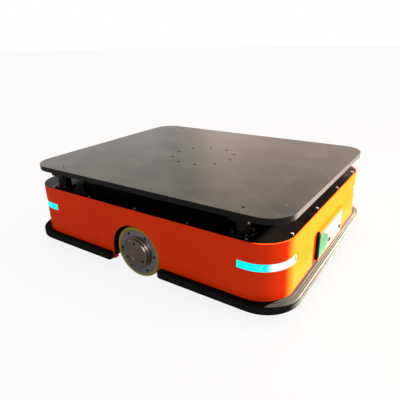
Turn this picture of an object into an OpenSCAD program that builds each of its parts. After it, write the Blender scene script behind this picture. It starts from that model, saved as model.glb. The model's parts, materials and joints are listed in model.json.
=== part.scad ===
// Low lifting transfer robot: a sheet-metal body on two driven wheels and four
// swivel casters, with a screw-driven platform that rises between four guide posts.
// +X is the end with the control panel, +Z is up, and the ground is z = 0.

/* [Body] */
// Length of the shell over its outer faces
body_l = 890; // [886:1:894]
// Width of the shell over its outer faces
body_w = 730; // [726:1:734]
// Radius of the shell's corners in plan
corner_r = 90; // [86:1:92]
// Height of the shell's lower edge above the ground
clearance = 38; // [36:1:39]
// Height of the deck above the ground
deck_z = 218; // [216:1:220]
// Thickness of the shell's sheet
sheet = 2; // [1.5:0.5:2.5]
// Thickness of the deck plate
deck_t = 4; // [3:0.5:5]

/* [Platform] */
// Length of the lifting plate
plate_l = 896; // [860:1:920]
// Width of the lifting plate
plate_w = 720; // [700:1:740]
// Radius of the lifting plate's corners
plate_r = 74; // [50:1:90]
// Thickness of the lifting plate
plate_t = 16; // [12:1:18]
// Height of the lifting plate's top when it is raised
plate_top = 284; // [280:1:290]
// Distance that the platform comes down
stroke = 30; // [20:1:30]
// Diameter of the ring of mounting holes
ring_d = 210; // [180:1:240]
// Number of mounting holes in the ring
ring_n = 10; // [6:1:12]
// Diameter of a mounting hole
ring_hole = 8; // [5:0.5:10]

/* [Wheels] */
// Radius of a drive wheel
wheel_r = 80; // [79:1:81]
// Thickness of the tyre's rubber
tyre_t = 10; // [6:1:11]
// Width of the tyre
tyre_w = 44; // [40:1:46]
// Distance from the shell's face in to the tyre's face
wheel_set_in = 10.5; // [9:0.5:13]
// Gap between the tyre and the wheel arch
arch_gap = 8; // [6:1:9]
// Radius of a caster wheel
caster_r = 37.5; // [36:0.5:38]
// Distance from a caster's swivel axis to its axle
caster_trail = 26; // [20:1:27]

/* [Bumper] */
// Length over both bumpers
bumper_l = 940; // [930:1:950]
// Width over the bumpers
bumper_w = 766; // [762:1:774]
// Radius of the bumper's corners in plan
bumper_r = 101; // [96:1:108]
// Height of the bumper
bumper_h = 23; // [20:1:25]
// Distance from the middle to a bumper's end
bumper_x0 = 90; // [89:1:110]

/* [Lights] */
// Height of the light strips' lower edge
light_z = 144; // [120:1:170]
// Height of a light strip
light_h = 20; // [10:1:24]
// Where a strip starts along the long side
light_x0 = 333; // [300:1:350]
// Where a strip ends along the short side
light_y0 = 266; // [240:1:270]

/* [Control panel] */
// Width of the panel
panel_w = 226; // [200:1:260]
// Lower edge of the panel
panel_z = 67; // [67:1:80]
// Height of the panel
panel_h = 90; // [80:1:94]
// Diameter of a push button
button_d = 12; // [8:1:14]
// Travel of a push button
button_travel = 2; // [1:0.5:2.5]

/* [Hidden] */
$fn = 96;

FRONT = 1;
REAR = -1;
LEFT = 1;
RIGHT = -1;
tall = 400;                       // longer than any height, for cutting tools
deck_bottom = deck_z - deck_t;

// Frame
floor_z = 40;                     // underside of the base plate
floor_t = 8;
floor_top = floor_z + floor_t;
floor_x = 276;                    // half length of the base plate
wall_t = 6;                       // thickness of the end frames
shelf_z = 104;                    // underside of the caster shelves
notch_x = 95;                     // half length of the wheel notches
notch_y = 302;                    // where the wheel notches start
flange_in = 16.5;                 // inner edge of the shell's top flange

// Wheels
tyre_face = body_w / 2 - wheel_set_in;
arch_r = wheel_r + arch_gap;
lip_depth = 13;                   // depth of the arch's turned-in lip
rim_r = wheel_r - tyre_t;
axle_d = 24;
fit = 0.1;                        // added to a diameter for a running fit

// Drive units
motor_y0 = 86;
motor_d = 58;
gearbox_y0 = 206;
gearbox_side = 62;
bracket_y0 = 290;
bracket_t = 8;
bracket_l = 140;
bracket_h = 102;
bracket_foot = 50;                // how far a bracket's feet reach inward
boss_d = 46;                      // gearbox boss that fills the bracket's bore
rim_hole_ring = 61;               // radius of the ring of holes in the hub
rim_hole_d = 9;
cap_screw_ring = 33;              // radius of the ring of screws in the hub cap
cap_hole_d = 8;

// Posts and fixings
post_x = 328;
post_y = 325;
post_d = 40;
post_block = 52;
block_t = 12;
post_foot = 165;                  // height of a post's lower end
bush_d = 46;
bush_foot = 168;                  // height of a bush's lower end
bush_flange_d = 64;
bush_flange_t = 5;
standoff_d = 16;
shelf_standoffs = [[305, 180], [415, 180]];
floor_standoffs = [[180, 335]];
screw_x = 433;                    // deck screws along the short sides
screw_ys = [-272, -93, 93, 272];
screw_y = 353;                    // deck screws along the long sides
screw_xs = [-352, -182, 0, 182, 352];
deck_hole = 5.4;
skirt_l = 568;
skirt_w = 590;
skirt_r = 12;
skirt_t = 3;
skirt_z = 205;
plate_bottom = plate_top - plate_t;
plate_screw_d = 6;
plate_head_d = 10;
plate_head_h = 6;
dowel_at = [178, 115];            // blind locating hole in the plate

// Lift drive
pulley_z = 76;
pulley_h = 14;
pulley_r = 20;
nut_gap = 12;                     // room between the pulley and the lowered nut
nut_z = pulley_z + pulley_h + nut_gap + stroke;
nut_h = 30;
tube_d = 56;
tube_bore = 30;
tube_flange_d = 140;
tube_flange_t = 8;
lift_screw_d = 20;
lift_screw_top = plate_bottom - stroke - 23;
motor_x = 110;                    // distance from the lift screw to the lift motor
belt_gap = 0.3;
belt_t = 2.5;

// Electrical boxes
box_w = 360;
battery_x = -258;
battery_l = 190;
battery_h = 100;
controller_x = 162;
controller_l = 96;
controller_h = 90;
driver_at = [50, 62];
driver_size = [90, 130, 30];

// Casters
king_d = 12;                      // king pin that a fork turns on
caster_x = 350;
caster_y = 240;
fork_top = 88;
fork_gap = 33;
fork_t = 3;
axle_z = caster_r;

// Bumper rail
rail_proud = 8;
rail_z = clearance + 4;
rail_h = bumper_h - 8;

// Panel
panel_x = body_l / 2;
panel_t = 8;
face_t = 1.5;
button_ys = [-15, 87];
button_z = 95;

// Rounded rectangle, centred, drawn in by an inset
module plan(length, width, radius, inset = 0) {
    l = length - 2 * inset;
    w = width - 2 * inset;
    r = radius - inset;
    square([l - 2 * r, w], center = true);
    square([l, w - 2 * r], center = true);
    for (x = [-1, 1], y = [-1, 1])
        translate([x * (l / 2 - r), y * (w / 2 - r)])
            circle(r);
}

// Outline of the shell in plan
module shell_plan(inset = 0) {
    plan(body_l, body_w, corner_r, inset);
}

// Extrudes an X-Z outline across Y on one side of the body
module across(side, from, to) {
    translate([0, side > 0 ? to : -from, 0])
        rotate([90, 0, 0])
            linear_extrude(to - from)
                children();
}

// Extrudes a Y-Z outline along +X
module forward(from, to) {
    translate([from, 0, 0])
        rotate([90, 0, 90])
            linear_extrude(to - from)
                children();
}

// Keeps what lies beyond x on the front or the rear
module beyond_x(end, x) {
    intersection() {
        children();
        translate([end > 0 ? x : -x - body_l, -body_w, 0])
            cube([body_l, 2 * body_w, tall]);
    }
}

// Places children at the four mirrored corners
module at_corners(x, y) {
    for (sx = [-1, 1], sy = [-1, 1])
        translate([sx * x, sy * y, 0])
            children();
}

// ---- Frame ----

module base_plate() {
    color("dimgray")
    translate([0, 0, floor_z])
        linear_extrude(floor_t)
            difference() {
                square([2 * floor_x, body_w - 2 * sheet], center = true);
                for (side = [LEFT, RIGHT])
                    translate([0, side * (notch_y + body_w / 2)])
                        square([2 * notch_x, body_w], center = true);
            }
}

// Upright wall with the shelf that the casters hang from
module end_frame(end) {
    color("dimgray") {
        translate([end > 0 ? floor_x - wall_t : -floor_x, -body_w / 2 + sheet, floor_top])
            cube([wall_t, body_w - 2 * sheet, shelf_z - floor_top]);
        beyond_x(end, floor_x - wall_t)
            translate([0, 0, shelf_z])
                linear_extrude(wall_t)
                    shell_plan(sheet);
    }
}

module standoff(foot) {
    translate([0, 0, foot])
        cylinder(h = deck_bottom - foot, d = standoff_d);
}

module deck_standoffs() {
    color("silver") {
        for (p = shelf_standoffs)
            at_corners(p.x, p.y) standoff(shelf_z + wall_t);
        for (p = floor_standoffs)
            at_corners(p.x, p.y) standoff(floor_top);
    }
}

// Places children at every screw of the deck's edge
module at_deck_screws() {
    for (side = [-1, 1]) {
        for (x = screw_xs)
            translate([x, side * screw_y, 0])
                children();
        for (y = screw_ys)
            translate([side * screw_x, y, 0])
                children();
    }
}

module deck_plate() {
    color([0.07, 0.07, 0.08])
    difference() {
        translate([0, 0, deck_bottom])
            linear_extrude(deck_t)
                difference() {
                    shell_plan(sheet + 0.3);
                    plan(skirt_l + 8, skirt_w + 8, skirt_r + 4);
                }
        at_corners(post_x, post_y)
            cylinder(h = tall, d = bush_d);
        at_deck_screws()
            cylinder(h = tall, d = deck_hole);
    }
}

module deck_screw(head_z, shank_z) {
    translate([0, 0, shank_z])
        cylinder(h = head_z - shank_z, d = 5);
    difference() {
        translate([0, 0, head_z])
            cylinder(h = 2, d = 8);
        translate([0, 0, head_z + 0.8])
            cylinder(h = 3, d = 3.4, $fn = 6);
    }
}

// Small screws on a guide bush's flange
module bush_screws() {
    for (a = [45 : 90 : 315])
        rotate(a)
            translate([26.2, 0, deck_z + bush_flange_t])
                cylinder(h = 1.5, d = 5);
}

module deck_screws() {
    color("lightgray") {
        at_deck_screws() deck_screw(deck_z, deck_bottom - 8);
        at_corners(post_x, post_y) bush_screws();
    }
}

// ---- Shell, lights and bumpers ----

module shell_wall() {
    translate([0, 0, clearance])
        linear_extrude(deck_z - clearance)
            difference() {
                shell_plan();
                shell_plan(sheet);
            }
    translate([0, 0, deck_bottom - sheet])
        linear_extrude(sheet)
            difference() {
                shell_plan(sheet / 2);
                shell_plan(flange_in);
            }
}

// Wheel arch: a half circle over the wheel, straight down to the lower edge
module arch(radius) {
    translate([0, wheel_r])
        circle(radius);
    translate([-radius, clearance])
        square([2 * radius, wheel_r - clearance]);
}

// Lip turned in round the wheel arch
module arch_lip(side) {
    across(side, body_w / 2 - sheet - lip_depth, body_w / 2 - sheet / 2)
        intersection() {
            arch(arch_r + sheet);
            translate([-body_l / 2, clearance])
                square([body_l, tall]);
        }
}

// Part of a band that lies round one corner
module corner_piece(end, side, x0, y0) {
    intersection() {
        children();
        translate([end > 0 ? x0 : -body_l, side > 0 ? y0 : -body_w, 0])
            cube([body_l - x0, body_w - y0, tall]);
    }
}

module light_slots(side) {
    for (end = [FRONT, REAR])
        corner_piece(end, side, light_x0 - 1, light_y0 - 6)
            translate([0, 0, light_z - 0.2])
                linear_extrude(light_h + 0.4)
                    difference() {
                        shell_plan(-5);
                        shell_plan(5);
                    }
}

module shell_half(side) {
    color([0.93, 0.27, 0.07])
    difference() {
        union() {
            intersection() {
                shell_wall();
                translate([-body_l, side > 0 ? 0 : -body_w, 0])
                    cube([2 * body_l, body_w, tall]);
            }
            arch_lip(side);
        }
        across(side, body_w / 2 - 40, body_w / 2 + 10)
            union() {
                arch(arch_r);
                translate([-arch_r, 0])
                    square([2 * arch_r, wheel_r]);
            }
        light_slots(side);
        at_deck_screws()
            cylinder(h = tall, d = deck_hole);
    }
}

module shell_left() {
    shell_half(LEFT);
}

module shell_right() {
    shell_half(RIGHT);
}

module light_strip(end, side) {
    color([0.0, 0.95, 0.9])
    corner_piece(end, side, light_x0, light_y0)
        translate([0, 0, light_z])
            linear_extrude(light_h)
                difference() {
                    shell_plan(-0.5);
                    shell_plan(4);
                }
}

// Flat band between the shell and an outline that stands proud of it
module bumper_band(z, h, length, width, radius) {
    translate([0, 0, z])
        linear_extrude(h)
            difference() {
                plan(length, width, radius);
                shell_plan();
            }
}

module rail_band() {
    bumper_band(rail_z, rail_h, body_l + 2 * rail_proud, body_w + 2 * rail_proud,
                corner_r + rail_proud);
}

module bumper(end) {
    end_r = (bumper_w - body_w) / 4;
    end_x = bumper_x0 + end_r;
    color([0.09, 0.09, 0.1])
    difference() {
        union() {
            beyond_x(end, end_x)
                bumper_band(clearance, bumper_h, bumper_l, bumper_w, bumper_r);
            for (side = [LEFT, RIGHT])
                translate([end * end_x, side * (body_w / 2 + end_r), clearance])
                    cylinder(h = bumper_h, r = end_r);
        }
        beyond_x(end, end_x)
            rail_band();
    }
}

module bumper_rail(end) {
    color("gray")
    beyond_x(end, bumper_x0 + (bumper_w - body_w) / 4)
        rail_band();
}

// ---- Control panel ----

module panel_outline(inset) {
    translate([0, panel_z + panel_h / 2])
        plan(panel_w, panel_h, 5, inset);
}

// Bores that the push buttons slide in
module button_bores() {
    for (y = button_ys)
        translate([panel_x + 1, y, button_z])
            rotate([0, 90, 0])
                cylinder(h = panel_t + 10, d = button_d + 2 * fit);
}

module panel_housing() {
    color([0.93, 0.27, 0.07])
    difference() {
        forward(panel_x, panel_x + panel_t)
            panel_outline(0);
        button_bores();
    }
}

module panel_face() {
    color([0.55, 0.95, 0.75])
    difference() {
        forward(panel_x + panel_t, panel_x + panel_t + face_t)
            panel_outline(5);
        button_bores();
    }
}

module push_button(y) {
    color([0.0, 0.34, 0.2])
    translate([panel_x + 1 + button_travel + 0.2, y, button_z])
        rotate([0, 90, 0])
            cylinder(h = panel_t + face_t - 0.5, d = button_d);
}

// ---- Electrical boxes ----

module battery_pack() {
    color([0.2, 0.3, 0.5])
    translate([battery_x, -box_w / 2, floor_top]) {
        cube([battery_l, box_w, battery_h]);
        translate([60, 60, battery_h])
            cube([battery_l - 120, box_w - 120, 6]);
    }
}

module controller_box() {
    color("silver")
    translate([controller_x, -box_w / 2, floor_top]) {
        cube([controller_l, box_w, controller_h]);
        for (y = [20 : 40 : box_w - 60])
            translate([20, y, controller_h])
                cube([controller_l - 40, 20, 6]);
    }
}

module motor_driver() {
    color([0.25, 0.25, 0.27])
    translate([driver_at.x, driver_at.y, floor_top]) {
        cube(driver_size);
        for (y = [5 : 12 : driver_size.y - 12])
            translate([5, y, driver_size.z])
                cube([driver_size.x - 10, 6, 14]);
    }
}

// ---- Drive units and wheels ----

module drive_bracket(side) {
    foot_y0 = bracket_y0 - bracket_foot;
    color("gray") {
        across(side, bracket_y0, bracket_y0 + bracket_t)
            difference() {
                translate([-bracket_l / 2, floor_top])
                    square([bracket_l, bracket_h]);
                translate([0, wheel_r])
                    circle(d = boss_d);
            }
        for (end = [-1, 1]) {
            across(side, foot_y0, bracket_y0)
                translate([end * 54 - 16, floor_top])
                    square([32, 6]);
            translate([end * 60 - 3, 0, 0])
                rotate([90, 0, 90])
                    linear_extrude(6)
                        polygon([[side * bracket_y0, floor_top], [side * foot_y0, floor_top],
                                 [side * bracket_y0, floor_top + 80]]);
        }
    }
}

module drive_gearbox(side) {
    color("darkgray")
    difference() {
        union() {
            across(side, gearbox_y0, bracket_y0)
                translate([0, wheel_r])
                    plan(gearbox_side, gearbox_side, 8);
            across(side, bracket_y0, bracket_y0 + bracket_t + 4)
                translate([0, wheel_r])
                    circle(d = boss_d);
        }
        across(side, bracket_y0 - 30, bracket_y0 + 40)
            translate([0, wheel_r])
                circle(d = axle_d + fit);
    }
}

module drive_motor(side) {
    color([0.15, 0.15, 0.16])
    across(side, motor_y0, gearbox_y0)
        translate([0, wheel_r])
            circle(d = motor_d);
}

// Puts a wheel's own +Z outward, with its zero at the tyre's outer face
module at_wheel(side) {
    translate([0, side * tyre_face, wheel_r])
        rotate([-90 * side, 0, 0])
            children();
}

module drive_axle(side) {
    color("silver")
    at_wheel(side)
        translate([0, 0, bracket_y0 - 26 - tyre_face])
            cylinder(h = tyre_face - bracket_y0 + 24, d = axle_d);
}

module drive_hub(side) {
    color([0.42, 0.42, 0.46])
    at_wheel(side)
        difference() {
            rotate_extrude()
                polygon([[axle_d / 2, -36], [34, -36], [34, -15], [58, -15], [58, 1 - tyre_w],
                         [rim_r, 1 - tyre_w], [rim_r, -1], [axle_d / 2, -1]]);
            for (a = [0 : 60 : 300])
                rotate(a)
                    translate([rim_hole_ring, 0, -12])
                        cylinder(h = 20, d = rim_hole_d);
        }
}

module drive_tyre(side) {
    shoulder = 4;
    color([0.6, 0.58, 0.14])
    at_wheel(side)
        rotate_extrude() {
            translate([rim_r, shoulder - tyre_w])
                square([tyre_t, tyre_w - 2 * shoulder]);
            translate([rim_r, -tyre_w])
                square([tyre_t - shoulder, tyre_w]);
            for (z = [-shoulder, shoulder - tyre_w])
                translate([wheel_r - shoulder, z])
                    circle(shoulder);
        }
}

module hub_cap(side) {
    color([0.32, 0.29, 0.27])
    at_wheel(side)
        difference() {
            rotate_extrude()
                polygon([[0, -1], [49, -1], [49, 5.5], [47.5, 7], [45.5, 7], [45.5, 8.5],
                         [44, 8.5], [44, 11.5], [42, 13.5], [0, 13.5]]);
            for (a = [90 : 120 : 330])
                rotate(a)
                    translate([cap_screw_ring, 0, 4])
                        cylinder(h = 20, d = cap_hole_d);
        }
}

// ---- Lift drive ----

module lift_base() {
    color("gray")
    difference() {
        union() {
            translate([-50, -45, floor_top])
                cube([200, 90, 4]);
            translate([0, 0, floor_top])
                cylinder(h = pulley_z - 2 - floor_top, d = 52);
            for (x = [-1, 1], y = [-1, 1])
                translate([motor_x + x * 32 - 4, y * 40 - 4, floor_top])
                    cube([8, 8, pulley_z + pulley_h + 2 - floor_top]);
            translate([motor_x - 38, -45, pulley_z + pulley_h + 2])
                cube([76, 90, 4]);
        }
        translate([0, 0, floor_top + 1])
            cylinder(h = tall, d = lift_screw_d + fit);
        translate([motor_x, 0, pulley_z])
            cylinder(h = tall, d = 26);
    }
}

module lift_motor() {
    color([0.15, 0.15, 0.16])
    translate([motor_x, 0, pulley_z + pulley_h + 6]) {
        cylinder(h = 40, d = 64);
        cylinder(h = 72, d = 56);
    }
}

// Outline round the two pulleys, grown by a distance
module belt_outline(grow) {
    r = pulley_r + grow;
    translate([0, -r])
        square([motor_x, 2 * r]);
    for (x = [0, motor_x])
        translate([x, 0])
            circle(r);
}

module lift_belt() {
    color([0.1, 0.1, 0.1])
    translate([0, 0, pulley_z + 1])
        linear_extrude(pulley_h - 2)
            difference() {
                belt_outline(belt_gap + belt_t);
                belt_outline(belt_gap);
            }
}

module motor_pulley() {
    color("silver")
    translate([motor_x, 0, 0]) {
        translate([0, 0, pulley_z])
            cylinder(h = pulley_h, r = pulley_r);
        translate([0, 0, pulley_z - 3])
            cylinder(h = pulley_h + 8, d = 10);
    }
}

module screw_pulley() {
    color("silver")
    translate([0, 0, pulley_z])
        difference() {
            cylinder(h = pulley_h, r = pulley_r);
            cylinder(h = tall, d = lift_screw_d, center = true);
        }
}

module lift_screw() {
    color("lightgray")
    translate([0, 0, floor_top + 2])
        cylinder(h = lift_screw_top - floor_top - 2, d = lift_screw_d);
}

module lift_nut() {
    color([0.7, 0.55, 0.25])
    translate([0, 0, nut_z])
        difference() {
            cylinder(h = nut_h, d = tube_d);
            cylinder(h = tall, d = lift_screw_d + 2 * fit, center = true);
        }
}

module lift_tube() {
    color("gray")
    difference() {
        union() {
            translate([0, 0, nut_z + nut_h])
                cylinder(h = plate_bottom - nut_z - nut_h, d = tube_d);
            translate([0, 0, plate_bottom - tube_flange_t])
                cylinder(h = tube_flange_t, d = tube_flange_d);
        }
        cylinder(h = 2 * tall, d = tube_bore, center = true);
    }
}

// ---- Platform ----

module lift_frame() {
    color([0.1, 0.1, 0.11]) {
        translate([0, 0, skirt_z])
            linear_extrude(plate_bottom - skirt_z)
                difference() {
                    plan(skirt_l, skirt_w, skirt_r);
                    plan(skirt_l, skirt_w, skirt_r, skirt_t);
                }
        translate([0, 0, plate_bottom - 4])
            linear_extrude(4)
                difference() {
                    plan(skirt_l, skirt_w, skirt_r, skirt_t / 2);
                    square([skirt_l - 40, skirt_w - 40], center = true);
                }
    }
}

module top_plate() {
    color([0.1, 0.1, 0.11])
    difference() {
        translate([0, 0, plate_bottom])
            linear_extrude(plate_t)
                plan(plate_l, plate_w, plate_r);
        for (i = [0 : ring_n - 1])
            rotate(360 / ring_n * i)
                translate([ring_d / 2, 0, plate_bottom - 1])
                    cylinder(h = plate_t + 2, d = ring_hole);
        translate([dowel_at.x, dowel_at.y, plate_top - 8])
            cylinder(h = 10, d = 5);
        at_corners(post_x, post_y) {
            cylinder(h = tall, d = plate_screw_d + 0.4);
            translate([0, 0, plate_top - plate_head_h - 0.5])
                cylinder(h = 10, d = plate_head_d + 0.6);
        }
    }
}

module plate_screws() {
    color([0.08, 0.08, 0.09])
    at_corners(post_x, post_y)
        difference() {
            union() {
                translate([0, 0, plate_bottom - 10])
                    cylinder(h = plate_t + 10 - plate_head_h, d = plate_screw_d);
                translate([0, 0, plate_top - plate_head_h - 0.5])
                    cylinder(h = plate_head_h, d = plate_head_d);
            }
            translate([0, 0, plate_top - 3.5])
                cylinder(h = 5, d = 5.8, $fn = 6);
        }
}

module guide_posts() {
    color([0.08, 0.08, 0.09])
    at_corners(post_x, post_y)
        difference() {
            union() {
                translate([0, 0, post_foot])
                    cylinder(h = plate_bottom - block_t - post_foot, d = post_d);
                translate([0, 0, plate_bottom - block_t / 2])
                    cube([post_block, post_block, block_t], center = true);
            }
            translate([0, 0, plate_bottom - 11])
                cylinder(h = 20, d = plate_screw_d);
        }
}

module guide_bushes() {
    color([0.12, 0.12, 0.13])
    at_corners(post_x, post_y)
        difference() {
            union() {
                translate([0, 0, deck_z])
                    cylinder(h = bush_flange_t, d = bush_flange_d);
                translate([0, 0, bush_foot])
                    cylinder(h = deck_z - bush_foot, d = bush_d);
            }
            cylinder(h = 2 * tall, d = post_d + 2 * fit, center = true);
        }
}

// ---- Casters ----

module caster_mounts() {
    color("silver")
    at_corners(caster_x, caster_y) {
        translate([-45, -38, shelf_z - 6])
            cube([90, 76, 6]);
        translate([0, 0, fork_top + 5.3])
            cylinder(h = shelf_z - 6 - fork_top - 5.3, d = 50);
        translate([0, 0, fork_top - 7])
            cylinder(h = 12.5, d = king_d);
        translate([0, 0, fork_top - 8])
            cylinder(h = 3.7, d = 18);
    }
}

module caster_fork(end, side) {
    cheek_y = fork_gap / 2;
    color("silver")
    translate([end * caster_x, side * caster_y, 0]) {
        difference() {
            translate([0, 0, fork_top - 4]) {
                cylinder(h = 4, d = 56);
                cylinder(h = 9, d = 46);
            }
            cylinder(h = 2 * tall, d = king_d + fit, center = true);
        }
        for (y = [-1, 1])
            across(y, cheek_y, cheek_y + fork_t) {
                polygon([[-22, fork_top - 4], [14, fork_top - 4],
                         [9 - caster_trail, axle_z - 4], [-9 - caster_trail, axle_z - 4]]);
                translate([-caster_trail, axle_z - 4])
                    circle(9);
            }
        translate([-caster_trail, 0, axle_z])
            rotate([90, 0, 0])
                cylinder(h = fork_gap + 10, d = 10, center = true);
    }
}

module caster_wheel(end, side) {
    color([0.25, 0.25, 0.26])
    translate([end * caster_x - caster_trail, side * caster_y, axle_z])
        rotate([90, 0, 0])
            rotate_extrude()
                polygon([[5 + fit / 2, -16], [12, -16], [12, -11], [26, -11], [26, -14],
                         [caster_r - 3, -14], [caster_r, -11], [caster_r, 11], [caster_r - 3, 14],
                         [26, 14], [26, 11], [12, 11], [12, 16], [5 + fit / 2, 16]]);
}

base_plate();
end_frame(FRONT);  // end_frame_front
end_frame(REAR);  // end_frame_rear
deck_standoffs();
deck_plate();
shell_left();
shell_right();
light_strip(FRONT, LEFT);  // light_strip_front_left
light_strip(FRONT, RIGHT);  // light_strip_front_right
light_strip(REAR, LEFT);  // light_strip_rear_left
light_strip(REAR, RIGHT);  // light_strip_rear_right
bumper(FRONT);  // bumper_front
bumper(REAR);  // bumper_rear
bumper_rail(FRONT);  // bumper_rail_front
bumper_rail(REAR);  // bumper_rail_rear
panel_housing();
panel_face();
push_button(button_ys[0]);  // button_start
push_button(button_ys[1]);  // button_stop
battery_pack();
controller_box();
motor_driver();
drive_bracket(LEFT);  // drive_bracket_left
drive_bracket(RIGHT);  // drive_bracket_right
drive_gearbox(LEFT);  // drive_gearbox_left
drive_gearbox(RIGHT);  // drive_gearbox_right
drive_motor(LEFT);  // drive_motor_left
drive_motor(RIGHT);  // drive_motor_right
drive_axle(LEFT);  // drive_axle_left
drive_axle(RIGHT);  // drive_axle_right
drive_hub(LEFT);  // drive_hub_left
drive_hub(RIGHT);  // drive_hub_right
drive_tyre(LEFT);  // drive_tyre_left
drive_tyre(RIGHT);  // drive_tyre_right
hub_cap(LEFT);  // hub_cap_left
hub_cap(RIGHT);  // hub_cap_right
lift_base();
lift_motor();
lift_belt();
motor_pulley();
screw_pulley();
lift_screw();
lift_nut();
lift_tube();
lift_frame();
top_plate();
plate_screws();
guide_posts();
guide_bushes();
deck_screws();
caster_mounts();
caster_fork(FRONT, LEFT);  // caster_fork_front_left
caster_fork(FRONT, RIGHT);  // caster_fork_front_right
caster_fork(REAR, LEFT);  // caster_fork_rear_left
caster_fork(REAR, RIGHT);  // caster_fork_rear_right
caster_wheel(FRONT, LEFT);  // caster_wheel_front_left
caster_wheel(FRONT, RIGHT);  // caster_wheel_front_right
caster_wheel(REAR, LEFT);  // caster_wheel_rear_left
caster_wheel(REAR, RIGHT);  // caster_wheel_rear_right
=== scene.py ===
import json
import math

import bmesh
import bpy
from mathutils import Matrix, Vector


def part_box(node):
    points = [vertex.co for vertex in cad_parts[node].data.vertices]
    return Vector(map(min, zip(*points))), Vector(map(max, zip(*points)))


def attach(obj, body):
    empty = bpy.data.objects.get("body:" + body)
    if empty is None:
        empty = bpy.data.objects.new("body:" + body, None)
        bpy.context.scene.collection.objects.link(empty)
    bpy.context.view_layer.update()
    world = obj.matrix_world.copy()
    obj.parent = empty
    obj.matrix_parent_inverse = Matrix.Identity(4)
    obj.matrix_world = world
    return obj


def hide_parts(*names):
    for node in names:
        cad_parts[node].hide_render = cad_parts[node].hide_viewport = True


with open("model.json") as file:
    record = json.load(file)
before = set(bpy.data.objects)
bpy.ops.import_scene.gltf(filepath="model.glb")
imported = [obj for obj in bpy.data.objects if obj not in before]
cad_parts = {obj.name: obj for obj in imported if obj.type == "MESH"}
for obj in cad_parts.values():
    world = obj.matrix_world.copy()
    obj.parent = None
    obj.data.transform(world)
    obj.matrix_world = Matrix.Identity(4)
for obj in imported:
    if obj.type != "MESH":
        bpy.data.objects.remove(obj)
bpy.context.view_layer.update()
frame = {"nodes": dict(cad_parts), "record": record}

MM = 0.001
FRONT, REAR, LEFT, RIGHT = 1, -1, 1, -1
ENDS = {"front": FRONT, "rear": REAR}
SIDES = {"left": LEFT, "right": RIGHT}
UP = Vector((0, 0, 1))


# ---------------------------------------------------------------- sizes from the frame

def size(node):
    low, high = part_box(node)
    return high - low


def middle(node):
    low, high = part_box(node)
    return (low + high) / 2


BODY_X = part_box("shell_left")[1].x          # half length of the shell
BODY_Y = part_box("shell_left")[1].y          # half width of the shell
CORNER_R = 90 * MM                          # the shell's corners in plan
CORNER_START = BODY_X - CORNER_R            # where they begin on the long sides
BUMPER_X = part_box("bumper_front")[1].x
BUMPER_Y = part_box("bumper_front")[1].y
BUMPER_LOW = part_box("bumper_front")[0].z
BUMPER_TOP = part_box("bumper_front")[1].z
BUMPER_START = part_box("bumper_front")[0].x  # where the bumper begins on each long side
BUMPER_R = 101 * MM                         # the bumper's outer corners in plan
PANEL_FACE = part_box("panel_face")[1].x
STRIP_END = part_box("light_strip_front_left")[0].y
WHEEL_R = size("drive_tyre_left").z / 2
TYRE_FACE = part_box("drive_tyre_left")[1].y
TYRE_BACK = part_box("drive_tyre_left")[0].y
RIM_R = 70 * MM                             # the hub's edge, inside the tyre
RIM_HOLE_RING = 61 * MM                     # the six holes in the hub
CAP_HOLE_RING = 33 * MM                     # the three holes in the hub cap
CAP_FACE = TYRE_FACE + 13.5 * MM            # the hub cap's flat face
PLATE_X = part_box("top_plate")[1].x
PLATE_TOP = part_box("top_plate")[1].z
HOLE_RING = 105 * MM                        # the ring of holes in the top plate
HOLE_R = 4 * MM
ORANGE = ((0.70, 0.031, 0.0018), (0.76, 0.037, 0.0024))


# ---------------------------------------------------------------- camera, lights and floor

def make_camera():
    """Looks down at the near front corner, rolled a little."""
    azimuth, elevation, roll = (math.radians(a) for a in (33.86, 22.17, -1.28))
    target = Vector((0, 0, 0.12))
    distance = 1.4097
    back = Vector((math.sin(azimuth) * math.cos(elevation),
                   -math.cos(azimuth) * math.cos(elevation),
                   math.sin(elevation)))
    right = (-back).cross(UP).normalized()
    up = right.cross(-back)
    turned_right = right * math.cos(roll) + up * math.sin(roll)
    turned_up = up * math.cos(roll) - right * math.sin(roll)
    data = bpy.data.cameras.new("camera")
    data.sensor_width = 36
    data.lens = 35.46
    data.shift_x = -0.011
    data.clip_start = 0.01
    camera = bpy.data.objects.new("camera", data)
    bpy.context.scene.collection.objects.link(camera)
    axes = Matrix((turned_right, turned_up, back)).transposed().to_4x4()
    camera.matrix_world = Matrix.Translation(target + back * distance) @ axes
    bpy.context.scene.camera = camera


def add_area(name, place, aim, width, height, watts, color):
    """Rectangular light at a place, turned to a point."""
    data = bpy.data.lights.new(name, "AREA")
    data.shape = "RECTANGLE"
    data.size = width
    data.size_y = height
    data.energy = watts
    data.color = color
    light = bpy.data.objects.new(name, data)
    bpy.context.scene.collection.objects.link(light)
    light.location = place
    light.rotation_euler = (Vector(aim) - Vector(place)).to_track_quat("-Z", "Y").to_euler()
    return light


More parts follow.
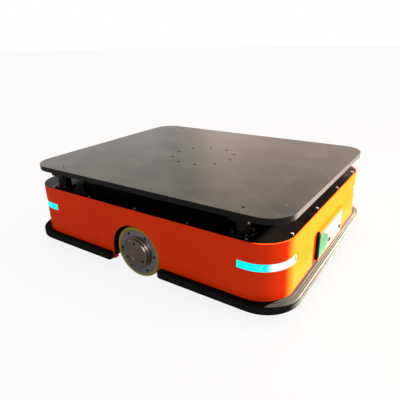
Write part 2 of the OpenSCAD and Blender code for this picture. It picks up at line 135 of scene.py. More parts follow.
def make_lights(floor, wheel_parts):
    """A low warm key that the floor doesn't get, soft areas, and a rim light on the near wheel."""
    toward = Vector((0.383, 0.881, 0.278))      # from the robot to the key light
    data = bpy.data.lights.new("key", "SUN")
    data.energy = 178
    data.angle = math.radians(4)
    data.color = (1.0, 0.9, 0.70)
    key = bpy.data.objects.new("key", data)
    bpy.context.scene.collection.objects.link(key)
    key.rotation_euler = toward.to_track_quat("Z", "Y").to_euler()
    leave_out(key, floor)
    add_area("bounce", (2.2, 0.55, 0.22), (BODY_X, 0, 0.12), 0.9, 0.4, 24, (1.0, 0.86, 0.66))
    add_area("glow", (1.85, 0.68, 1.62), (0, 0, 0.12), 0.9, 0.7, 9, (1.0, 0.93, 0.84))
    rim = add_area("rim", (1.75, -2.05, 1.3), (0, -BODY_Y, 0.08), 1.3, 1.0, 50,
                   (1.0, 0.92, 0.84))
    lit = bpy.data.collections.new("rim_lights")
    for piece in wheel_parts:
        lit.objects.link(piece)
    rim.light_linking.receiver_collection = lit

    world = bpy.data.worlds.new("studio")
    bpy.context.scene.world = world
    world.use_nodes = True
    shade_world(world.node_tree)
    bpy.context.scene.view_settings.view_transform = "Standard"


def shade_world(tree):
    """Soft surround: brightest near the horizon, neutral on one side and warmer on the other."""
    peak = 1.5                                  # ramp colours stop at 1; the strength has the rest

    def node(kind, **settings):
        made = tree.nodes.new(kind)
        for key, value in settings.items():
            setattr(made, key, value)
        return made

    def remap(value, low, high, to_low, to_high):
        made = node("ShaderNodeMapRange", interpolation_type="SMOOTHSTEP")
        for socket, number in zip(("From Min", "From Max", "To Min", "To Max"),
                                  (low, high, to_low, to_high)):
            made.inputs[socket].default_value = number
        tree.links.new(value, made.inputs["Value"])
        return made.outputs["Result"]

    def math_node(operation, *values):
        made = node("ShaderNodeMath", operation=operation)
        for socket, value in zip(made.inputs, values):
            if isinstance(value, (int, float)):
                socket.default_value = value
            else:
                tree.links.new(value, socket)
        return made.outputs["Value"]

    def tint(factor, low, high):
        made = node("ShaderNodeMix", data_type="RGBA")
        tree.links.new(factor, made.inputs["Factor"])
        for socket, value in ((made.inputs[6], low), (made.inputs[7], high)):
            if isinstance(value, tuple):
                socket.default_value = (*value, 1)
            else:
                tree.links.new(value, socket)
        return made.outputs[2]

    axes = node("ShaderNodeSeparateXYZ")
    tree.links.new(node("ShaderNodeTexCoord").outputs["Generated"], axes.inputs["Vector"])
    x, y, z = (axes.outputs[k] for k in "XYZ")
    squares = math_node("ADD", math_node("MULTIPLY", x, x), math_node("MULTIPLY", y, y))
    bearing = math_node("ADD", math_node("DIVIDE", x, math_node("SQRT", squares)), 1.0)
    ramp = node("ShaderNodeValToRGB")
    tree.links.new(bearing, ramp.inputs["Fac"])
    for at, bright, warmth in (                 # from the rear round to the left side
            (0.15, 0.86, 0), (0.25, 0.72, 0), (0.34, 0.78, 0), (0.385, 0.60, 0),
            (0.43, 0.86, 0.6), (0.47, 1.42, 0.8), (0.52, 1.40, 0.9), (0.57, 1.24, 1),
            (0.62, 1.08, 1), (0.75, 1.12, 1)):
        stop = ramp.color_ramp.elements.new(at)
        stop.color = [bright * c / peak for c in (1, 1 - 0.26 * warmth, 1 - 0.36 * warmth)] + [1]
    for spare in (0, -1):
        ramp.color_ramp.elements.remove(ramp.color_ramp.elements[spare])
    near_side = (0.98 / peak, 0.98 / peak, 0.99 / peak)
    shade = tint(remap(y, -0.15, 0.15, 0.0, 1.0), near_side, ramp.outputs["Color"])
    low_sky = remap(z, 0.20, 0.46, 1.0, 0.52)
    background = tree.nodes["Background"]
    seen = node("ShaderNodeLightPath").outputs["Is Camera Ray"]
    white = (1 / peak, 1 / peak, 1 / peak)
    tree.links.new(tint(seen, shade, white), background.inputs["Color"])
    strength = math_node("MULTIPLY", math_node("MAXIMUM", low_sky, seen), peak)
    tree.links.new(strength, background.inputs["Strength"])


def leave_out(light, stage_piece):
    """Keeps a light off one piece of the stage."""
    lit = bpy.data.collections.new(f"{light.name}_leaves_out")
    lit.objects.link(stage_piece)
    light.light_linking.receiver_collection = lit
    lit.collection_objects[0].light_linking.link_state = "EXCLUDE"


def make_floor():
    """A pale floor that looks almost white to the camera and still takes a soft shadow."""
    mesh = bpy.data.meshes.new("floor")
    grid = bmesh.new()
    bmesh.ops.create_grid(grid, x_segments=1, y_segments=1, size=30)
    grid.to_mesh(mesh)
    grid.free()
    floor = bpy.data.objects.new("floor", mesh)
    bpy.context.scene.collection.objects.link(floor)
    material = bpy.data.materials.new("floor")
    material.use_nodes = True
    tree = material.node_tree
    shader = tree.nodes["Principled BSDF"]
    shader.inputs["Base Color"].default_value = (0.86, 0.86, 0.86, 1)
    shader.inputs["Roughness"].default_value = 0.9
    shader.inputs["Specular IOR Level"].default_value = 0.0
    pale = tree.nodes.new("ShaderNodeEmission")
    pale.inputs["Color"].default_value = (1, 1, 1, 1)
    pale.inputs["Strength"].default_value = 1.08
    share = tree.nodes.new("ShaderNodeMath")
    share.operation = "MULTIPLY"
    tree.links.new(tree.nodes.new("ShaderNodeLightPath").outputs["Is Camera Ray"], share.inputs[0])
    share.inputs[1].default_value = 0.8
    blend = tree.nodes.new("ShaderNodeMixShader")
    tree.links.new(share.outputs["Value"], blend.inputs["Fac"])
    tree.links.new(shader.outputs["BSDF"], blend.inputs[1])
    tree.links.new(pale.outputs["Emission"], blend.inputs[2])
    tree.links.new(blend.outputs["Shader"], tree.nodes["Material Output"].inputs["Surface"])
    mesh.materials.append(material)
    return floor


# ---------------------------------------------------------------- materials

class Surface:
    """A procedural material: a Principled shader fed by noise in the object's own coordinates."""

    def __init__(self, name, **uniform):
        self.material = bpy.data.materials.new(name)
        self.material.use_nodes = True
        self.tree = self.material.node_tree
        self.shader = self.tree.nodes["Principled BSDF"]
        for socket, value in uniform.items():
            self.shader.inputs[socket.replace("_", " ")].default_value = value
        self.place = self.tree.nodes.new("ShaderNodeTexCoord").outputs["Object"]
        self.normal = None

    def node(self, kind, **settings):
        node = self.tree.nodes.new(kind)
        for key, value in settings.items():
            setattr(node, key, value)
        return node

    def link(self, output, target):
        self.tree.links.new(output, target)

    def noise(self, scale, detail=4):
        noise = self.node("ShaderNodeTexNoise")
        noise.inputs["Scale"].default_value = scale
        noise.inputs["Detail"].default_value = detail
        noise.inputs["Roughness"].default_value = 0.55
        self.link(self.place, noise.inputs["Vector"])
        return noise.outputs["Fac"]

    def remap(self, value, low, high, to_low=0.0, to_high=1.0):
        node = self.node("ShaderNodeMapRange")
        for socket, number in zip(("From Min", "From Max", "To Min", "To Max"),
                                  (low, high, to_low, to_high)):
            node.inputs[socket].default_value = number
        self.link(value, node.inputs["Value"])
        return node.outputs["Result"]

    def math(self, operation, a, b):
        node = self.node("ShaderNodeMath", operation=operation)
        for socket, value in zip(node.inputs, (a, b)):
            if isinstance(value, (int, float)):
                socket.default_value = value
            else:
                self.link(value, socket)
        return node.outputs["Value"]

    def mix(self, factor, low, high):
        """Colour between low and high, each a colour or an output."""
        node = self.node("ShaderNodeMix", data_type="RGBA")
        self.link(factor, node.inputs["Factor"])
        for socket, value in ((node.inputs[6], low), (node.inputs[7], high)):
            if isinstance(value, tuple):
                socket.default_value = (*value, 1)
            else:
                self.link(value, socket)
        return node.outputs[2]

    def axes(self):
        """The point's x, y and z, in metres."""
        split = self.node("ShaderNodeSeparateXYZ")
        self.link(self.place, split.inputs["Vector"])
        return [split.outputs[k] for k in "XYZ"]

    def absolute(self, value):
        return self.math("ABSOLUTE", value, 0)

    def drift(self, grain):
        """Slow change over the surface, from 0 to 1."""
        return self.remap(self.noise(grain), 0.3, 0.7)

    def color(self, output):
        self.link(output, self.shader.inputs["Base Color"])

    def rough(self, output):
        self.link(output, self.shader.inputs["Roughness"])

    def bump(self, value, depth):
        """Adds a bump of that depth in metres on top of the bumps already there."""
        node = self.node("ShaderNodeBump")
        node.inputs["Distance"].default_value = depth
        node.inputs["Strength"].default_value = 1.0
        self.link(value, node.inputs["Height"])
        if self.normal:
            self.link(self.normal, node.inputs["Normal"])
        self.normal = node.outputs["Normal"]
        self.link(self.normal, self.shader.inputs["Normal"])


def speckled(name, dark, light, rough, spread=0.06, grain=60.0, bump_grain=900.0, bump=0.00002,
             **uniform):
    """Colour and roughness drift over the surface, with a fine grain in the bump."""
    s = Surface(name, **uniform)
    s.color(s.mix(s.drift(grain), dark, light))
    s.rough(s.remap(s.noise(grain * 2.3), 0.3, 0.7, rough - spread, rough + spread))
    s.bump(s.noise(bump_grain, detail=3), bump)
    return s


def add_dust(s, dark, light, grain, dust, top, amount):
    """Mixes pale dust in, from none at a height to the full amount at the ground."""
    low = s.remap(s.axes()[2], top, 0.0, 0.0, amount)
    patches = s.remap(s.noise(14, detail=6), 0.35, 0.75)
    factor = s.math("MULTIPLY", low, patches)
    s.color(s.mix(factor, s.mix(s.drift(grain), dark, light), dust))


def shell_paint():
    """Semi-gloss orange, with painted shade: dark on the turned-in lip of the wheel arches above
    its lowest part.
    """
    s = speckled("body_orange", *ORANGE, 0.34, 0.03, grain=9, bump_grain=420, bump=0.00003,
                 Specular_IOR_Level=0.0, Coat_Weight=0.16, Coat_Roughness=0.03)
    x, y, z = s.axes()
    # Painted shade: the masks below pick the turned-in lip of each arch above its lowest part,
    # which goes near black.
    deep = s.remap(s.absolute(y), BODY_Y - 0.5 * MM, BODY_Y - 2 * MM)
    beside = s.remap(s.absolute(x), WHEEL_R + 14 * MM, WHEEL_R + 12 * MM)
    above = s.remap(z, WHEEL_R - 36 * MM, WHEEL_R - 30 * MM)
    painted_arch_shade = s.math("MULTIPLY", s.math("MULTIPLY", deep, beside), above)
    s.color(s.mix(painted_arch_shade, s.mix(s.drift(9), *ORANGE), (0.012, 0.009, 0.009)))
    return s.material


def housing_paint():
    """The panel's housing: painted like the shell, with painted shade: a dark band along its two
    sides.
    """
    s = Surface("housing_orange", Specular_IOR_Level=0.0)
    away = s.absolute(s.math("SUBTRACT", s.axes()[1], middle("panel_housing").y))
    half = size("panel_housing").y / 2
    # Painted shade: the housing's two sides go dark green.
    painted_side_shade = s.remap(away, half - 5.6 * MM, half - 5.1 * MM)
    s.color(s.mix(painted_side_shade, s.mix(s.drift(9), *ORANGE), (0.003, 0.014, 0.008)))
    s.rough(s.remap(s.noise(60), 0.3, 0.7, 0.30, 0.38))
    return s.material


def plate_gloss():
    """Gloss black with a few flecks, near black below its top face away from the ends (its holes,
    long sides and underside) as painted shade, and pale on the faces of its two ends as a painted
    highlight.
    """
    dark, light = (0.006, 0.006, 0.0065), (0.009, 0.009, 0.009)
    s = speckled("plate_black", dark, light, 0.16, 0.025, grain=11, bump_grain=160, bump=0.000001,
                 Specular_IOR_Level=0.14, Coat_Weight=0.08, Coat_Roughness=0.05)
    flecks = s.node("ShaderNodeTexVoronoi", feature="F1")
    flecks.inputs["Scale"].default_value = 190
    s.link(s.place, flecks.inputs["Vector"])
    rare = s.math("MULTIPLY", s.remap(flecks.outputs["Distance"], 0.16, 0.10),
                  s.remap(s.noise(41, detail=2), 0.62, 0.70))
    tone_with_painted_shade = s.mix(s.math("MULTIPLY", rare, 0.35), s.mix(s.drift(11), dark, light),
                 (0.30, 0.29, 0.27))
    x, _, z = s.axes()
    # Painted highlight: the faces of the two ends go pale below the top edge.
    end = s.remap(s.absolute(x), PLATE_X - 2.2 * MM, PLATE_X - 1.2 * MM)
    edge = s.remap(z, PLATE_TOP - 0.8 * MM, PLATE_TOP - 1.6 * MM)
    # Painted shade: below the top face, away from the ends, the plate goes near black: its holes,
    # long sides and underside.
    under = s.remap(z, PLATE_TOP - 0.3 * MM, PLATE_TOP - 1 * MM)
    holes = s.math("MULTIPLY", under, s.remap(s.absolute(x), 0.40, 0.38))
    tone_with_painted_shade = s.mix(holes, tone_with_painted_shade, (0.0008, 0.0008, 0.0008))
    s.color(s.mix(s.math("MULTIPLY", end, edge), tone_with_painted_shade, (0.021, 0.0225, 0.024)))
    return s.material


def deck_gloss():
    return speckled("deck_black", (0.0008, 0.0007, 0.0007), (0.0014, 0.0012, 0.0012), 0.12, 0.03,
                    grain=17, bump_grain=200, bump=0.000006, Specular_IOR_Level=0.06).material


def strip_lens():
    """Lit cyan lens that glows white where it turns on to the end of the robot, a painted
    highlight, with a dark tip that is painted shade.
    """
    s = Surface("light_cyan", Roughness=0.25, Specular_IOR_Level=0.1, Emission_Strength=1.0)
    x, y, _ = s.axes()
    along, across = s.absolute(x), s.absolute(y)
    # Painted highlight: the part on the end of the robot glows white instead of cyan.
    bright = s.math("MULTIPLY", s.remap(along, BODY_X - 38 * MM, BODY_X - 28 * MM),
                    s.remap(across, STRIP_END + 5 * MM, STRIP_END + 16 * MM))
    # Painted shade: the last few millimetres at the strip's tip go dark and barely glow.
    tip = s.remap(across, STRIP_END + 4 * MM, STRIP_END + 3 * MM)
    lens = s.mix(s.drift(40), (0.0, 0.24, 0.23), (0.0, 0.30, 0.28))
    s.color(s.mix(tip, lens, (0.002, 0.009, 0.009)))
    glow = s.mix(s.remap(s.noise(55, detail=2), 0.35, 0.65), (0.0, 0.80, 0.76), (0.0, 0.96, 0.92))
    lit = s.mix(bright, glow, (0.95, 1.0, 0.93))
    s.link(s.mix(tip, lit, (0.0, 0.03, 0.03)), s.shader.inputs["Emission Color"])
    s.bump(s.noise(800, detail=2), 0.00002)
    return s.material


def led_lens():
    """Frosted spot over one lamp of a light strip."""
    s = Surface("led_white", Roughness=0.3, Specular_IOR_Level=0.1, Emission_Strength=1.0)
    s.color(s.mix(s.drift(300), (0.05, 0.30, 0.28), (0.08, 0.34, 0.32)))
    pale = s.mix(s.remap(s.noise(420, detail=2), 0.3, 0.7), (0.16, 0.92, 0.90), (0.30, 1.0, 0.98))
    s.link(pale, s.shader.inputs["Emission Color"])
    return s.material


def panel_print():
    """The control panel's face: green edges and a green field, the rest pale; the green field is a
    painted reflection of the dark bumper in the glossy face.
    """
    s = Surface("panel_mint", Specular_IOR_Level=0.08)
    x, y, z = s.axes()
    # Painted reflection: a green field on the lower left, below a sloping line, darker than the
    # pale rest.
    slope = s.math("ADD", s.math("MULTIPLY", y, 0.44), z)
    field = s.math("MULTIPLY", s.remap(slope, 0.110, 0.104), s.remap(y, -0.020, -0.040))
    top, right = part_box("panel_face")[1].z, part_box("panel_face")[1].y
    edge = s.math("MAXIMUM", s.remap(z, top - 7 * MM, top - 6 * MM),
                  s.remap(y, right - 6 * MM, right - 5 * MM))
    edge = s.math("MAXIMUM", edge, s.remap(x, PANEL_FACE - 0.3 * MM, PANEL_FACE - 0.7 * MM))
    drift = s.drift(26)
    green = s.mix(drift, (0.0028, 0.034, 0.0155), (0.0036, 0.040, 0.0185))
    pale = s.mix(drift, (0.040, 0.052, 0.060), (0.046, 0.060, 0.069))
    s.color(s.mix(s.math("MAXIMUM", field, edge), pale, green))
    s.rough(s.remap(s.noise(60), 0.3, 0.7, 0.17, 0.24))
    s.bump(s.noise(700, detail=3), 0.00001)
    return s.material


def turned(name, dark, light, rough, **uniform):
    """Metal turned on a lathe: fine rings round a wheel's axle, which lies along Y."""
    s = Surface(name, Metallic=1.0, **uniform)
    mapping = s.node("ShaderNodeMapping")
    mapping.inputs["Location"].default_value = (0, 0, -WHEEL_R)
    mapping.inputs["Scale"].default_value = (1, 0.0001, 1)
    s.link(s.place, mapping.inputs["Vector"])
    length = s.node("ShaderNodeVectorMath", operation="LENGTH")
    s.link(mapping.outputs["Vector"], length.inputs[0])
    ring = s.node("ShaderNodeTexNoise", noise_dimensions="1D")
    ring.inputs["Scale"].default_value = 2600
    ring.inputs["Detail"].default_value = 3
    s.link(length.outputs["Value"], ring.inputs["W"])
    s.color(s.mix(s.remap(s.noise(35, detail=5), 0.3, 0.7), dark, light))
    s.rough(s.remap(ring.outputs["Fac"], 0.3, 0.7, rough - 0.07, rough + 0.07))
    s.bump(ring.outputs["Fac"], 0.000012)
    return s.material


def rubber(name, dark, light, rough, dust_color, dust):
    """Matt rubber, dusty towards the ground."""
    s = speckled(name, dark, light, rough, 0.08, grain=30, bump_grain=1500, bump=0.00004,
                 Specular_IOR_Level=0.03)
    add_dust(s, dark, light, 30, dust_color, 0.09, dust)
    return s.material


def bumper_rubber():
    """Black rubber, darker on its top than on its outer face: painted shade, tinted warm as a
    painted reflection of the orange shell.
    """
    s = Surface("bumper_rubber", Specular_IOR_Level=0.03)
    # Painted shade: the top is darker than the outer face, tinted warm as a painted reflection of
    # the shell.
    top = s.remap(s.axes()[2], BUMPER_TOP - 4 * MM, BUMPER_TOP - 0.5 * MM)
    drift = s.drift(30)
    side = s.mix(drift, (0.0075, 0.0075, 0.0078), (0.0105, 0.0105, 0.0108))
    tone_with_painted_shade = s.mix(drift, (0.0030, 0.0027, 0.0024), (0.0045, 0.0040, 0.0035))
    s.color(s.mix(top, side, tone_with_painted_shade))
    s.rough(s.remap(s.noise(70), 0.3, 0.7, 0.58, 0.72))
    s.bump(s.noise(1500, detail=3), 0.00004)
    return s.material


def tyre_polyurethane():
    """Olive tread with a little dust on the part near the ground."""
    dark, light = (0.25, 0.21, 0.008), (0.32, 0.27, 0.014)
    s = speckled("tyre_olive", dark, light, 0.42, 0.06, grain=24, bump_grain=700, bump=0.00003,
                 Specular_IOR_Level=0.2)
    add_dust(s, dark, light, 24, (0.26, 0.23, 0.12), 0.05, 0.3)
    return s.material


def make_materials():
    """All materials by name: one for each slot of the record, and the visual pieces' own."""
    m = {
        "body_orange": shell_paint(),
        "plate_black": plate_gloss(),
        "deck_black": deck_gloss(),
        "light_cyan": strip_lens(),
        "tyre_olive": tyre_polyurethane(),
        "bumper_rubber": bumper_rubber(),
        "caster_grey": rubber("caster_grey", (0.05, 0.05, 0.052), (0.075, 0.075, 0.078), 0.5,
                              (0.16, 0.15, 0.13), 0.4),
        "belt_rubber": rubber("belt_rubber", (0.015, 0.015, 0.015), (0.022, 0.022, 0.022), 0.6,
                              (0.08, 0.08, 0.075), 0.1),
        "hub_grey": turned("hub_grey", (0.17, 0.17, 0.185), (0.24, 0.24, 0.26), 0.34),
        "cap_dark": turned("cap_dark", (0.14, 0.12, 0.108), (0.20, 0.17, 0.152), 0.26),
    }
    plain = {
        "post_black": ((0.0015, 0.0015, 0.0016), (0.003, 0.003, 0.0032), 0.22,
                       dict(Specular_IOR_Level=0.12)),
        "button_green": ((0.0004, 0.0050, 0.0025), (0.0006, 0.0070, 0.0036), 0.22,
                         dict(Specular_IOR_Level=0.2)),
        "frame_grey": ((0.16, 0.16, 0.17), (0.21, 0.21, 0.22), 0.5, {}),
        "motor_black": ((0.02, 0.02, 0.022), (0.035, 0.035, 0.037), 0.42, {}),
        "battery_blue": ((0.03, 0.09, 0.24), (0.05, 0.12, 0.30), 0.45, {}),
    }
    for name, (dark, light, rough, extra) in plain.items():
        m[name] = speckled(name, dark, light, rough, 0.05, grain=20, bump_grain=800,
                           bump=0.00002, **extra).material
    metals = {
        "zinc_steel": ((0.50, 0.50, 0.51), (0.66, 0.66, 0.67), 0.3),
        "rail_metal": ((0.45, 0.45, 0.46), (0.58, 0.58, 0.59), 0.35),
        "alloy_case": ((0.42, 0.42, 0.43), (0.52, 0.52, 0.53), 0.42),
        "bronze": ((0.50, 0.32, 0.11), (0.62, 0.43, 0.17), 0.3),
    }
    for name, (dark, light, rough) in metals.items():
        m[name] = speckled(name, dark, light, rough, 0.08, grain=45, bump_grain=1100,
                           bump=0.000015, Metallic=1.0).material
    marks = {
        "mark_teal": ((0.001, 0.014, 0.007), (0.0015, 0.019, 0.010), 0.3,
                      dict(Specular_IOR_Level=0.2)),
        "mark_grey": ((0.018, 0.022, 0.020), (0.026, 0.030, 0.028), 0.35,
                      dict(Specular_IOR_Level=0.2)),
        "mark_pale": ((0.10, 0.12, 0.12), (0.13, 0.15, 0.15), 0.35,
                      dict(Specular_IOR_Level=0.2)),
        "mark_pink": ((0.42, 0.12, 0.13), (0.52, 0.17, 0.18), 0.5, {}),
        "hole_dark": ((0.001, 0.001, 0.001), (0.002, 0.002, 0.002), 0.5,
                      dict(Specular_IOR_Level=0.05)),
    }
    for name, (dark, light, rough, extra) in marks.items():
        m[name] = speckled(name, dark, light, rough, **extra).material
    m["panel_mint"] = panel_print()
    m["housing_orange"] = housing_paint()
    m["led_white"] = led_lens()
    return m


# ---------------------------------------------------------------- mesh helpers

def new_piece(name, mesh_data, material, body, sharp=35):
    """Turns a bmesh into a piece that rides on a body."""
    bmesh.ops.recalc_face_normals(mesh_data, faces=mesh_data.faces)
    mesh = bpy.data.meshes.new(name)
    mesh_data.to_mesh(mesh)
    mesh_data.free()
    mesh.polygons.foreach_set("use_smooth", [True] * len(mesh.polygons))
    mesh.set_sharp_from_angle(angle=math.radians(sharp))
    mesh.materials.append(material)
    piece = bpy.data.objects.new(name, mesh)
    bpy.context.scene.collection.objects.link(piece)
    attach(piece, body)
    return piece


def rounded(points, steps=5):
    """Outline with arcs at its corners. A point is (x, y) or (x, y, radius)."""
    out = []
    count = len(points)
    for i, point in enumerate(points):
        here = Vector(point[:2])
        radius = point[2] if len(point) > 2 else 0
        if not radius:
            out.append(here)
            continue
        before = (Vector(points[i - 1][:2]) - here).normalized()
        after = (Vector(points[(i + 1) % count][:2]) - here).normalized()
        half = before.angle(after) / 2
        reach = radius / math.tan(half)
        centre = here + (before + after).normalized() * (radius / math.sin(half))
        start = here + before * reach - centre
        end = here + after * reach - centre
        sweep = start.angle_signed(end)
        for k in range(steps + 1):
            turn = -sweep * k / steps
            out.append(centre + Vector((start.x * math.cos(turn) - start.y * math.sin(turn),
                                        start.x * math.sin(turn) + start.y * math.cos(turn))))
    return out


def lathe(profile, place, segments):
    """Revolves (radius, height) points round the local Z of a matrix, as a closed form."""
    b = bmesh.new()
    rings = []
    for r, h in profile:
        if r < 1e-7:
            rings.append([b.verts.new(place @ Vector((0, 0, h)))])
            continue
        rings.append([b.verts.new(place @ Vector((r * math.cos(a), r * math.sin(a), h)))
                      for a in (math.tau * k / segments for k in range(segments))])
    for low, high in zip(rings, rings[1:] + rings[:1]):
        for k in range(segments):
            n = (k + 1) % segments
            corners = (low[k % len(low)], low[n % len(low)],
                       high[n % len(high)], high[k % len(high)])
            unique = list(dict.fromkeys(corners))
            if len(unique) > 2:
                b.faces.new(unique)
    return b


def loft(rings):
    """Joins rings of points with quads and caps both ends."""
    b = bmesh.new()
    loops = [[b.verts.new(p) for p in ring] for ring in rings]
    count = len(loops[0])
    for low, high in zip(loops, loops[1:]):
        for k in range(count):
            n = (k + 1) % count
            b.faces.new((low[k], low[n], high[n], high[k]))
    b.faces.new(loops[0])
    b.faces.new(loops[-1])
    return b


def outward(side, x, y, z):
    """Matrix whose +Z points out of a long side, at a point."""
    return Matrix.Translation((x, y, z)) @ Matrix.Rotation(-side * math.pi / 2, 4, "X")


def around(radius, angle, height):
    """Shift to a point of a ring round the local Z."""
    return Matrix.Translation((radius * math.cos(angle), radius * math.sin(angle), height))


def edge_soft(node, width):
    """Rounds a CAD node's edges without touching its mesh."""
    piece = frame["nodes"][node]
    weld = piece.modifiers.new("weld", "WELD")
    weld.merge_threshold = 0.00001
    bevel = piece.modifiers.new("bevel", "BEVEL")
    bevel.width = width
    bevel.segments = 2
    bevel.limit_method = "ANGLE"
    bevel.angle_limit = math.radians(40)
    bevel.harden_normals = False
    bevel.use_clamp_overlap = True
    normals = piece.modifiers.new("normals", "WEIGHTED_NORMAL")
    normals.keep_sharp = True


# ---------------------------------------------------------------- pieces

def dress_nodes(materials):
    """Gives every CAD node its material and softens the edges of the larger ones."""
    slots = {row["node"]: row["material_slot"] for row in frame["record"]["subparts"]}
    for name, piece in frame["nodes"].items():
        piece.data.materials.clear()
        paint = "housing_orange" if name == "panel_housing" else slots[name]
        piece.data.materials.append(materials[paint])
    soft = {"top_plate": 1.6, "shell_": 0.5, "deck_plate": 0.5, "panel_housing": 1.6,
            "panel_face": 0.4, "hub_cap": 0.9, "drive_hub": 0.6, "guide_bushes": 0.9,
            "guide_posts": 0.8, "lift_frame": 0.8, "base_plate": 0.6, "end_frame": 0.6,
            "caster_wheel": 1.0, "caster_fork": 0.6, "drive_bracket": 0.8, "drive_gearbox": 1.2,
            "drive_motor": 1.5, "battery": 2.0, "controller": 2.0, "button": 0.7}
    for start, width in soft.items():
        for name in frame["nodes"]:
            if name.startswith(start):
                edge_soft(name, width * MM)


def bumper_profile():
    """Section of the bumper: across from the shell (0) to its outer face (1), and height."""
    low, top = BUMPER_LOW / MM, BUMPER_TOP / MM
    wide = 25.0                                   # width of the section that the radii suit
    outline = [(0.0, low), (wide, low, 3.0)]
    for rib in (43.0, 46.5, 50.0):                # shallow grooves along the outer face
        outline += [(wide, rib - 0.7), (wide - 0.7, rib), (wide, rib + 0.7)]
    outline += [(wide, top, 4.5), (17.6, top), (17.0, top - 0.6), (16.4, top), (10.4, top, 0.4),
                (9.8, top + 0.9, 0.5), (8.6, top + 0.9, 0.5), (8.0, top, 0.4), (0.0, top)]
    return [(p.x / wide, p.y * MM) for p in rounded(outline)]


def plan_point(side, u, turn):
    """Point between the shell's outline (u = 0) and the bumper's (u = 1), at a corner angle."""
    inner = Vector((CORNER_START, side * (BODY_Y - CORNER_R)))
    outer = Vector((BUMPER_X - BUMPER_R, side * (BUMPER_Y - BUMPER_R)))
    way = Vector((math.cos(turn), side * math.sin(turn)))
    return (inner + way * CORNER_R).lerp(outer + way * BUMPER_R, u)


def bumper_stations():
    """(x, growth) from a rounded end of the bumper along a long side to its corner."""
    round_in = 9 * MM
    turns = [math.pi / 2 * k / 8 for k in range(9)]
    stations = [(BUMPER_START + round_in * (1 - math.cos(turn)), 0.55 + 0.45 * math.sin(turn))
                for turn in turns]
    length = CORNER_START - BUMPER_START - round_in
    stations += [(BUMPER_START + round_in + length * k / 24, 1.0) for k in range(1, 24)]
    return stations


def make_bumper(name, end, material):
    """One bumper, from its end on the right side round the robot's end to the left side."""
    profile = bumper_profile()
    mid_z = (BUMPER_LOW + BUMPER_TOP) / 2 - 2 * MM

    def straight(side, x, grow):
        share = (x - BUMPER_START) / (CORNER_START - BUMPER_START)
        inner, outer = Vector((x, side * BODY_Y)), Vector((x, side * BUMPER_Y))
        ring = []
        for u, z in profile:
            u = 0.5 + (u - 0.5) * grow
            point = inner.lerp(outer, u).lerp(plan_point(side, u, math.pi / 2), share ** 3)
            z = mid_z + (z - mid_z) * (0.25 + 0.75 * grow)
            ring.append(Vector((end * point.x, point.y, z)))
        return ring

    def corner(side, turn):
        points = [(plan_point(side, u, turn), z) for u, z in profile]
        return [Vector((end * point.x, point.y, z)) for point, z in points]

    stations = bumper_stations()
    rings = [straight(RIGHT, *station) for station in stations]
    rings += [corner(RIGHT, math.pi / 2 * (1 - k / 24)) for k in range(25)]
    rings += [corner(LEFT, math.pi / 2 * k / 24) for k in range(25)]
    rings += [straight(LEFT, *station) for station in reversed(stations)]
    piece = new_piece(f"{name}_profile", loft(rings), material, "chassis", 30)
    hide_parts(name)


def make_wheel(side_name, side, m):
    """The tyre with its rounded shoulders, the cap's screws and dark discs of painted shade at the
    floors of the hub's holes.
    """
    body = f"wheel_{side_name}"
    place = outward(side, 0, side * TYRE_FACE, WHEEL_R)
    back = -(TYRE_FACE - TYRE_BACK)
    tyre = rounded([(RIM_R, back + 0.5 * MM), (WHEEL_R - 2.5 * MM, back, 0.8 * MM),
                    (WHEEL_R, back + 5 * MM, 4 * MM), (WHEEL_R, -5 * MM, 4 * MM),
                    (WHEEL_R - 2.5 * MM, 0, 0.8 * MM), (RIM_R + 1.2 * MM, 0, 0.5 * MM),
                    (RIM_R, -1.2 * MM)], 6)
    piece = new_piece(f"tyre_{side_name}", lathe(tyre, place, 128), m["tyre_olive"], body)
    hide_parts(f"drive_tyre_{side_name}")

    for k in range(3):
        spot = place @ around(CAP_HOLE_RING, math.radians(90 + 120 * k), 4 * MM)
        screw = socket_screw(spot, 3.9 * MM, 5 * MM)
        new_piece(f"cap_screw_{side_name}_{k}", screw, m["hole_dark"], body)
    # Painted shade: a near-black disc at the floor of each of the hub's six holes.
    for k in range(6):
        spot = place @ around(RIM_HOLE_RING, math.radians(60 * k), -12 * MM)
        disc = lathe([(0, 0), (4.4 * MM, 0), (4.4 * MM, 1 * MM), (0, 1.6 * MM)], spot, 24)
        new_piece(f"rim_hole_floor_{side_name}_{k}", disc, m["hole_dark"], body)


def socket_screw(spot, radius, height):
    """Socket-head screw: a bevelled round head with a six-sided recess."""
    deep, across = height * 0.55, radius * 0.56
    count = 24
    rings = []
    for r, h, six_sided in (
            (radius, 0, False), (radius, height - 0.35 * MM, False),
            (radius - 0.3 * MM, height, False), (across * 1.08, height, True),
            (across, height - 0.15 * MM, True), (across, height - deep, True)):
        ring = []
        for k in range(count):
            a = math.tau * k / count
            flat = math.cos(math.pi / 6) / math.cos(a % (math.pi / 3) - math.pi / 6)
            reach = r * (flat if six_sided else 1)
            ring.append(spot @ Vector((reach * math.cos(a), reach * math.sin(a), h)))
        rings.append(ring)
    return loft(rings)


def make_paint_dot(m):
    """Inspection mark: a dab of paint on one hub cap."""
    spot = outward(RIGHT, -9 * MM, -CAP_FACE, WHEEL_R - 17.5 * MM)
    dab = lathe([(0, -0.2 * MM), (3.6 * MM, -0.2 * MM), (3.4 * MM, 0.12 * MM), (2.2 * MM, 0.3 * MM),
                 (0, 0.36 * MM)], spot, 24)
    new_piece("paint_dot", dab, m["mark_pink"], "wheel_right")


def make_hole_rims(m):
    """Dark rims of the threaded inserts in the plate's ring of holes."""
    for k in range(10):
        spot = around(HOLE_RING, math.tau * k / 10, PLATE_TOP)
        rim = lathe([(HOLE_R, -0.4 * MM), (5.6 * MM, -0.4 * MM), (5.6 * MM, 0.05 * MM),
                     (5.2 * MM, 0.12 * MM), (HOLE_R, 0.02 * MM)], spot, 32)
        new_piece(f"hole_rim_{k}", rim, m["hole_dark"], "platform")


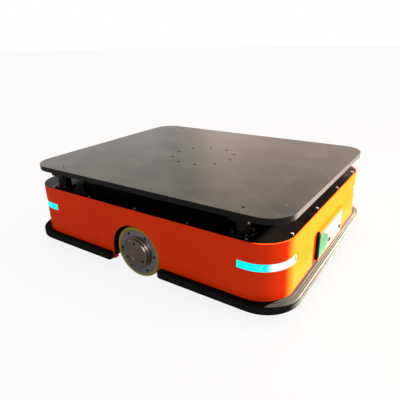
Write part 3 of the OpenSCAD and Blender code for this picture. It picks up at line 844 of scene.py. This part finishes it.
def make_panel_marks(m):
    """The printed line between the buttons and the small lamps round them."""
    start, stop = middle("button_start"), middle("button_stop")
    half, tip = 1.4 * MM, start.y - 38 * MM
    corners = rounded([(tip, start.z - half, half * 0.9), (stop.y, start.z - half),
                       (stop.y, start.z + half), (tip, start.z + half, half * 0.9)], 4)
    line = loft([[Vector((x, p.x, p.y)) for p in corners]
                 for x in (PANEL_FACE - 0.3 * MM, PANEL_FACE + 0.15 * MM)])
    new_piece("panel_line", line, m["mark_teal"], "chassis")
    lamps = [(y, z, "mark_grey") for z in (110, 69) for y in (-4, 48, 100)]   # in mm
    lamps += [(-56, 101, "mark_pale"), (-52, 85, "mark_pale")]
    facing = Matrix.Rotation(math.pi / 2, 4, "Y")
    for k, (y, z, paint) in enumerate(lamps):
        spot = Matrix.Translation((PANEL_FACE, y * MM, z * MM)) @ facing
        dome = lathe([(0, -0.4 * MM), (2.6 * MM, -0.4 * MM), (2.6 * MM, 0.2 * MM),
                      (1.8 * MM, 0.6 * MM), (0, 0.8 * MM)], spot, 20)
        new_piece(f"panel_lamp_{k}", dome, m[paint], "chassis")


def make_leds(m):
    """Two frosted spots on each light strip where it turns the corner."""
    height = middle("light_strip_front_left").z
    for end_name, end in ENDS.items():
        for side_name, side in SIDES.items():
            corner = Vector((end * CORNER_START, side * (BODY_Y - CORNER_R), height))
            for k in range(2):
                turn = math.radians(25 + 11.5 * k)
                way = Vector((end * math.sin(turn), side * math.cos(turn), 0))
                spot = Matrix.Translation(corner + way * (CORNER_R + 0.3 * MM))
                spot = spot @ way.to_track_quat("Z", "Y").to_matrix().to_4x4()
                lens = lathe([(0, -0.5 * MM), (4 * MM, -0.5 * MM), (3.4 * MM, 0.25 * MM),
                              (2 * MM, 0.45 * MM), (0, 0.5 * MM)], spot, 20)
                new_piece(f"led_{end_name}_{side_name}_{k}", lens, m["led_white"], "chassis")


def main():
    make_camera()
    floor = make_floor()
    make_lights(floor, [frame["nodes"][f"{part}_right"] for part in ("hub_cap", "drive_hub")])
    m = make_materials()
    dress_nodes(m)
    make_bumper("bumper_front", FRONT, m["bumper_rubber"])
    make_bumper("bumper_rear", REAR, m["bumper_rubber"])
    for name, side in SIDES.items():
        make_wheel(name, side, m)
    make_paint_dot(m)
    make_hole_rims(m)
    make_panel_marks(m)
    make_leds(m)


main()
